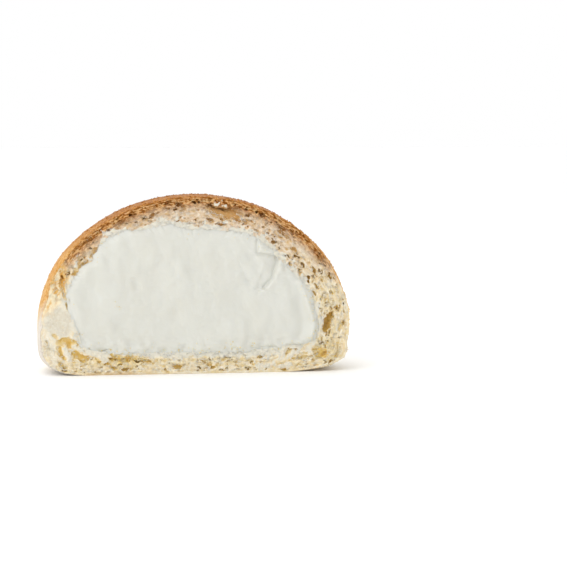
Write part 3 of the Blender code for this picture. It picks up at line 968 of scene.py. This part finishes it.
    # the crust is thin, but thicker and golden in a band on the left, where it was torn
    across, up, radius = bread["goldBand"]
    band = add("CombineXYZ", (x, 0.0, height))
    band = add("VectorMath DISTANCE", (band, (across, 0.0, up)), 1)
    band = add("MapRange", (band, radius, radius / 2))
    thick = add("Math MULTIPLY_ADD", (band, -bread["goldDeep"], skin))
    thick = add("Math MULTIPLY_ADD", (fibre, 9.0, thick))
    thick = add("Math MULTIPLY_ADD", (fine, 4.0, thick))
    golden = add("MapRange", (thick, *bread["golden"]))
    golden = add("Math MULTIPLY", (golden, band))
    # the golden band also darkens down its pores, with the same painted shade
    goldColour = add("ValToRGB", (grainAndPitShade,), stops=bread["gold"])
    inside = add("Mix", {0: golden, 6: inside, 7: goldColour}, 2, data_type="RGBA")
    outer = add("MapRange", (skin, 0.04, 0.22, 1.0, 0.0))
    # beside the cut the crust is torn and flaked: brown on top, golden on the left
    flake = add("MapRange", (fine, 0.33, 0.65))
    flaked = add("ValToRGB", (flake,), stops=bread["edge"])
    goldFlaked = add("ValToRGB", (flake,), stops=bread["goldEdge"])
    share = add("Math MULTIPLY_ADD", (patchy, 9.0, height))
    share = add("MapRange", (share, *bread["flakedTop"]))
    flaked = add("Mix", {0: share, 6: goldFlaked, 7: flaked}, 2, data_type="RGBA")
    ripped = add("Math MULTIPLY_ADD", (fine, -12.0, y))
    ripped = add("Math MULTIPLY_ADD", (patchy, -9.0, ripped))
    atEdge = add("MapRange", (ripped, *bread["ripped"], 0.0, 0.92))
    share = add("Math MAXIMUM", (browned, band))
    atEdge = add("Math MULTIPLY", (atEdge, share))
    crust = add("Mix", {0: atEdge, 6: crust, 7: flaked}, 2, data_type="RGBA")
    # low on the left, cream was wiped over it
    wipedCrust = add("Math MULTIPLY_ADD", (patchy, 14.0, height))
    wipedCrust = add("Math MULTIPLY_ADD", (y, 0.7, wipedCrust))
    wipedCrust = add("MapRange", (wipedCrust, *bread["wipedUpTo"]))
    share = add("Math MULTIPLY_ADD", (upright, 30.0, ripped))
    share = add("MapRange", (share, *bread["wipedBack"]))
    wipedCrust = add("Math MULTIPLY", (wipedCrust, share))
    share = add("MapRange", (x, *bread["wipedAcross"]))
    wipedCrust = add("Math MULTIPLY", (wipedCrust, share))
    share = add("Mix", {0: flake, 6: linear(bread["wipedCrust"][0]), 7: linear(bread["wipedCrust"][1])},
                2, data_type="RGBA")
    crust = add("Mix", {0: wipedCrust, 6: crust, 7: share}, 2, data_type="RGBA")
    colour = add("Mix", {0: outer, 6: inside, 7: crust}, 2, data_type="RGBA")
    base = add("Math MULTIPLY_ADD", (patchy, 3.4, height))
    base = add("MapRange", (base, *bread["baseBand"], 1.0, 0.0))
    share = add("MapRange", (x, *bread["baseShare"]))
    base = add("Math MULTIPLY", (base, share))
    colour = add("Mix", {0: base, 6: colour, 7: linear(bread["baseLine"])}, 2, data_type="RGBA")

    rough = add("MapRange", (outer, 0.0, 1.0, *bread["roughness"]))
    shine = add("MapRange", (y, *bread["shineFrom"], *bread["shine"]))
    pimples = add("Math MULTIPLY_ADD", (upright, 2.4, fine))
    grain = add("Mix", {0: outer, 2: fibre, 3: pimples}, data_type="FLOAT")
    bump = add("Bump", {"Strength": 0.5, "Distance": 0.3 * mm, "Height": grain})
    see = add("MapRange", {0: outer, 3: 0.6, 4: 0.0})  # light goes into crumb, not crust
    fillInputs(shader, {
        "Base Color": colour, "Roughness": rough, "Specular IOR Level": shine, "Normal": bump,
        "Subsurface Weight": see, "Subsurface Radius": (1.0, 0.9, 0.75),
        "Subsurface Scale": 1.0 * mm, "IOR": 1.45,
    })
    return material


# Small pale blisters on the upper crust. Sizes in mm
blisters = {
    "perSquareMm": 0.03,
    "size": (0.4, 2.2),  # most are near the smallest
    "smallness": 5.0,
    "flatness": 0.3,
    "from": (24.0, 32.0),  # none below, all of them above these heights
    "seed": 4,
}


def blisterTree(material):
    tree, given, add = newTree("crustBlisters", {
        "Crust": "Geometry", "Density": "Float", "Smallest": "Float", "Largest": "Float",
        "Seed": "Int",
    })
    place = add("InputPosition")
    y, z = add("SeparateXYZ", (place,), (1, 2))
    # on the outside only, away from the seam's plane
    outward = facesOut(add, place, add("InputNormal"))
    outward = add("Math GREATER_THAN", (outward, 0.0))
    clear = add("Math GREATER_THAN", (y, (bun["seam"] + 0.5) * mm))
    chosen = add("Math MULTIPLY", (outward, clear))
    none, most = blisters["from"]
    share = add("MapRange", (z, none * mm, most * mm, 0.04, 1.0))
    density = add("Math MULTIPLY", (share, given["Density"]))
    points, turn = add("DistributePointsOnFaces", {
        "Mesh": given["Crust"], "Selection": chosen, "Density": density,
        "Seed": given["Seed"]}, ("Points", "Rotation"))
    share = add("RandomValue", {"Seed": given["Seed"]}, 1)
    share = add("Math POWER", (share, blisters["smallness"]))
    size = add("MapRange", {0: share, 3: given["Smallest"], 4: given["Largest"]})
    uneven = add("RandomValue", {
        0: (0.8, 0.35, 0.6 * blisters["flatness"]), 1: (1.3, 1.0, blisters["flatness"]),
        "Seed": given["Seed"]}, data_type="FLOAT_VECTOR")
    size = add("VectorMath SCALE", {0: uneven, "Scale": size})
    domes = add("SetShadeSmooth", {0: scatter(add, points, turn, size, 2)})
    endTree(tree, domes, material, skin=0.0, fold=0.0, blister=1.0)
    return tree


def makeBlisters(rear, material):
    return useTree(newObject("crustBlisters", rear.data), blisterTree(material), {
        "Density": blisters["perSquareMm"] / mm ** 2, "Smallest": blisters["size"][0] * mm,
        "Largest": blisters["size"][1] * mm, "Seed": blisters["seed"],
    })


# Whipped cream: bright, smooth and softly see-through, spread flat by the knife
cream.update({
    "around": 520,
    "rings": 105,
    "backRings": 34,
    "setBack": 0.04,  # its edge lies this far behind the crumb's plane
    "edgeRound": 0.4,  # the edge is rounded over this width
    "edgeDrop": 0.3,
    "proud": 0.42,  # in from the edge it swells forward by this much
    "swellOver": 3.0,
    "spread": 0.25,  # its edge lies this far out over the crumb
    "ragged": ((5.5, 0.7), (2.1, 0.6), (0.9, 0.5)),  # size and amount of the edge's waves
    # size across and up and height of its soft swells
    "swells": ((17.0, 11.0, 0.8), (6.5, 7.5, 0.62), (3.4, 4.6, 0.3), (1.6, 1.9, 0.09)),
    "lumps": (2.1, 0.6, 13.0, 8.0),  # size and height; none above, most below these heights
    "seed": 3.7,
    "colour": "#d6d6ce",
    "shade": "#d4d3c9",
})

# Ridges, steps and dents of the cream: points across and up in mm, then width, height of a
# ridge or depth of a groove, and the step between its two sides
creamMarks = (
    (((24.6, 35.9), (24.6, 33.7), (23.7, 31.2), (23.2, 28.8), (21.8, 27.3), (20.6, 26.0)),
     0.6, -0.7, 0.45),
    (((13.8, 31.9), (16.2, 27.6), (18.1, 26.0), (19.1, 28.8)), 1.2, -0.3, 0.15),
    (((20.0, 38.3), (21.4, 37.5)), 1.6, 0.6, 0.0),
    (((26.0, 35.0), (25.6, 31.0)), 1.0, 0.5, 0.0),
    (((18.4, 39.9), (18.5, 36.3), (22.4, 35.9)), 0.45, -0.6, 0.5),
    (((31.6, 27.2), (34.2, 19.4), (35.8, 14.7), (34.6, 10.6)), 0.9, 0.75, 0.0),
    (((30.6, 21.5), (32.4, 15.5), (31.4, 11.6)), 1.7, -0.5, 0.0),
    (((-38.6, 21.0), (-37.2, 16.0), (-34.6, 11.2)), 1.5, -0.3, -0.15),
    (((-26.0, 23.0), (-23.4, 19.0)), 2.4, 0.3, 0.0),
    (((-18.8, 28.4), (-18.2, 26.4)), 1.1, -0.45, 0.0),
    (((-22.0, 9.4), (-14.0, 11.4), (-9.6, 13.6)), 2.2, -0.3, 0.0),
    (((-5.0, 33.0), (-3.0, 28.0), (-6.0, 24.0)), 1.6, 0.25, 0.0),
    (((8.0, 37.5), (12.5, 32.5), (13.0, 29.0)), 1.6, 0.3, 0.0),
)


def markRelief(across, up):
    # height of every mark at each point, towards the viewer
    total = np.zeros_like(across)
    for points, width, height, step in creamMarks:
        nearest = np.full_like(across, 1e3)
        side = np.zeros_like(across)
        for a, b in zip(points, points[1:]):
            run = np.subtract(b, a)
            share = ((across - a[0]) * run[0] + (up - a[1]) * run[1]) / (run @ run)
            share = np.clip(share, 0, 1)
            offX, offZ = across - a[0] - share * run[0], up - a[1] - share * run[1]
            away = np.hypot(offX, offZ)
            closer = away < nearest
            side = np.where(closer, np.sign(run[0] * offZ - run[1] * offX), side)
            nearest = np.minimum(nearest, away)
        fade = np.exp(-(nearest / width) ** 2)
        total += height * fade + step * side * smooth(0, 0.5, nearest) * np.exp(-nearest / (3 * width))
    return total


def creamRelief(across, up):
    rows = np.column_stack([across, up, np.full_like(across, cream["seed"])])
    total = np.zeros_like(across)
    for wide, high, amount in cream["swells"]:
        total += amount * waves((wide, high, 1.0), rows)
    size, amount, none, most = cream["lumps"]
    share = np.maximum(smooth(none, most, up), 0.6 * smooth(4, 18, across) * smooth(20, 30, up))
    total += amount * waves((size, size, 1.0), rows) * share
    return total + markRelief(across, up)


def makeCream():
    around = cream["around"]
    edge = np.array([outlinePoint(i / around) for i in range(around)])
    middle = np.array(cream["centre"])
    tangent = np.roll(edge, -1, axis=0) - np.roll(edge, 1, axis=0)
    outward = np.column_stack([tangent[:, 1], -tangent[:, 0]])
    outward /= np.linalg.norm(outward, axis=1)[:, None]
    rag = np.zeros(around)
    for size, amount in cream["ragged"]:
        rows = np.column_stack([edge, np.full(around, size)])
        rag += amount * waves((size, size, 1.0), rows)
    torn = edge + outward * (rag + cream["spread"])[:, None]

    rings = []
    shares = np.linspace(0, 1, cream["rings"])[1:] ** 0.8
    for share in shares:
        ring = middle + (torn - middle) * share
        inward = (1 - share) * np.linalg.norm(torn - middle, axis=1)
        turnIn = np.clip(1 - inward / cream["edgeRound"], 0, 1)
        drop = cream["edgeDrop"] * (1 - np.sqrt(np.clip(1 - turnIn ** 2, 0, 1)))
        depth = bun["cut"] + cream["setBack"] - creamRelief(*ring.T) * smooth(0, 1.6, inward) + drop
        depth -= cream["proud"] * smooth(0, cream["swellOver"], inward)
        rings.append(np.column_stack([ring[:, 0], depth, ring[:, 1]]))
    atCut = math.sqrt(1 - (bun["cut"] / cream["reach"]) ** 2)
    start = bun["cut"] + cream["setBack"] + cream["edgeDrop"] + 0.5
    for share in np.linspace(0, 1, cream["backRings"])[:-1]:
        depth = start + (cream["reach"] - start) * math.sin(share * math.pi / 2)
        size = math.sqrt(1 - (depth / cream["reach"]) ** 2) / atCut
        keep = math.exp(-(depth - start) / 1.5)
        ring = middle + (edge + outward * (rag * keep - 0.2)[:, None] - middle) * size
        rings.append(np.column_stack([ring[:, 0], np.full(around, depth), ring[:, 1]]))
    depth = bun["cut"] + cream["setBack"] - cream["proud"] - creamRelief(middle[:1], middle[1:])[0]
    piece = stackRings("creamFill", (middle[0], depth, middle[1]), rings,
                       (middle[0], cream["reach"], middle[1]))
    # how far each point of the front lies in from the edge, for the crumbs that lie on it
    front = [(1 - share) * np.linalg.norm(torn - middle, axis=1) for share in shares]
    storeRings(piece, "inward", front, -1.0)
    piece.data.shade_smooth()
    return piece


def patchedColour(add, rate, between, first, second):
    # the place in mm, and two colours in soft patches of about 1 / rate mm
    place = add("VectorMath SCALE", {0: add("TexCoord", out="Object"), "Scale": 1 / mm})
    patch = add("TexNoise", {"Vector": place, "Scale": rate, "Detail": 3.0})
    share = add("MapRange", (patch, *between))
    return place, add("Mix", {0: share, 6: linear(first), 7: linear(second)}, 2, data_type="RGBA")


def creamMaterial():
    material, shader = newMaterial("whippedCream")
    add = partial(addNode, material.node_tree)
    place, colour = patchedColour(add, 0.1, (0.3, 0.75), cream["colour"], cream["shade"])
    silk = add("TexNoise", {"Vector": place, "Scale": 1.3, "Detail": 4.0})
    bump = add("Bump", {"Strength": 0.3, "Distance": 0.15 * mm, "Height": silk})
    fillInputs(shader, {
        "Base Color": colour, "Normal": bump, "Roughness": 0.42, "Subsurface Weight": 0.35,
        "Subsurface Radius": (1.0, 0.9, 0.75), "Subsurface Scale": 2.0 * mm, "IOR": 1.4,
    })
    return material


# Crumbs that the knife left on the cream, most near its lower and right edges. Sizes in mm
crumbs = {
    "perSquareMm": 1.3,
    "size": (0.2, 0.8),
    "fade": 5.0,  # in from the edge
    "cluster": (-24.2, 20.6, 2.2),  # a few more lie here: across, up, radius
    "colour": "#dcc790",
    "pale": "#e6dfc8",
    "seed": 5,
}


def crumbsTree(material):
    tree, given, add = newTree("looseCrumbs", {
        "Cream": "Geometry", "Density": "Float", "Smallest": "Float", "Largest": "Float",
        "Seed": "Int",
    })
    inward = add("InputNamedAttribute", {0: "inward"}, data_type="FLOAT")
    onFront = add("Math GREATER_THAN", (inward, 0.15))
    place = add("VectorMath SCALE", {0: add("InputPosition"), "Scale": 1 / mm})
    x, y, z = add("SeparateXYZ", (place,), (0, 1, 2))
    nearEdge = add("MapRange", (inward, 0.0, crumbs["fade"], 1.0, 0.0))
    low = add("MapRange", (z, 14.0, 7.0, 0.05, 1.0))
    right = add("MapRange", (x, 29.0, 36.0))
    share = add("Math MAXIMUM", (low, right))
    share = add("Math MULTIPLY", (share, nearEdge))
    across, up, radius = crumbs["cluster"]
    away = add("VectorMath DISTANCE", (add("CombineXYZ", (x, 0.0, z)), (across, 0.0, up)), 1)
    cluster = add("MapRange", (away, radius, 0.0, 0.0, 0.9))
    share = add("Math MAXIMUM", (share, cluster))
    density = add("Math MULTIPLY", (share, given["Density"]))
    points = add("DistributePointsOnFaces", {
        "Mesh": given["Cream"], "Selection": onFront, "Density": density, "Seed": given["Seed"]})
    turn = add("RandomValue", {0: (0.0, 0.0, 0.0), 1: (math.tau,) * 3, "Seed": given["Seed"]},
               data_type="FLOAT_VECTOR")
    size = add("RandomValue", {2: given["Smallest"], 3: given["Largest"], "Seed": given["Seed"]}, 1)
    uneven = add("RandomValue", {0: (0.6, 0.45, 0.4), 1: (1.0, 0.8, 0.7), "Seed": given["Seed"]},
                 data_type="FLOAT_VECTOR")
    size = add("VectorMath SCALE", {0: uneven, "Scale": size})
    bits = bendSurface(add, scatter(add, points, turn, size), 2.6, 0.3 * mm)
    endTree(tree, bits, material)
    return tree


def crumbsMaterial():
    # dry crumb, matt and open, pale with a toasted side
    material, shader = newMaterial("looseCrumb")
    add = partial(addNode, material.node_tree)
    colour = patchedColour(add, 0.8, (0.4, 0.6), crumbs["colour"], crumbs["pale"])[1]
    fillInputs(shader, {
        "Base Color": colour, "Roughness": 0.85, "Subsurface Weight": 0.5,
        "Subsurface Radius": (1.0, 0.75, 0.45), "Subsurface Scale": 0.5 * mm,
    })
    return material


def makeCrumbs(creamPiece):
    return useTree(newObject("looseCrumbs", creamPiece.data), crumbsTree(crumbsMaterial()), {
        "Density": crumbs["perSquareMm"] / mm ** 2, "Smallest": crumbs["size"][0] * mm,
        "Largest": crumbs["size"][1] * mm, "Seed": crumbs["seed"],
    })


def dress(piece, material=None, node=None):
    # one material, on the one body
    if material:
        piece.data.materials.append(material)
    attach(piece, "root")
    if node:
        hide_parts(node)
    print(piece.name, "made:", len(piece.data.polygons), "faces")


crustAndCrumb = breadMaterial()
breadPieces = makeBread(crustAndCrumb)
for piece in (*breadPieces, makeBlisters(breadPieces[0], crustAndCrumb)):
    dress(piece, node="bun_bread")
creamFill = makeCream()
dress(creamFill, creamMaterial(), "cream_filling")
dress(makeCrumbs(creamFill))
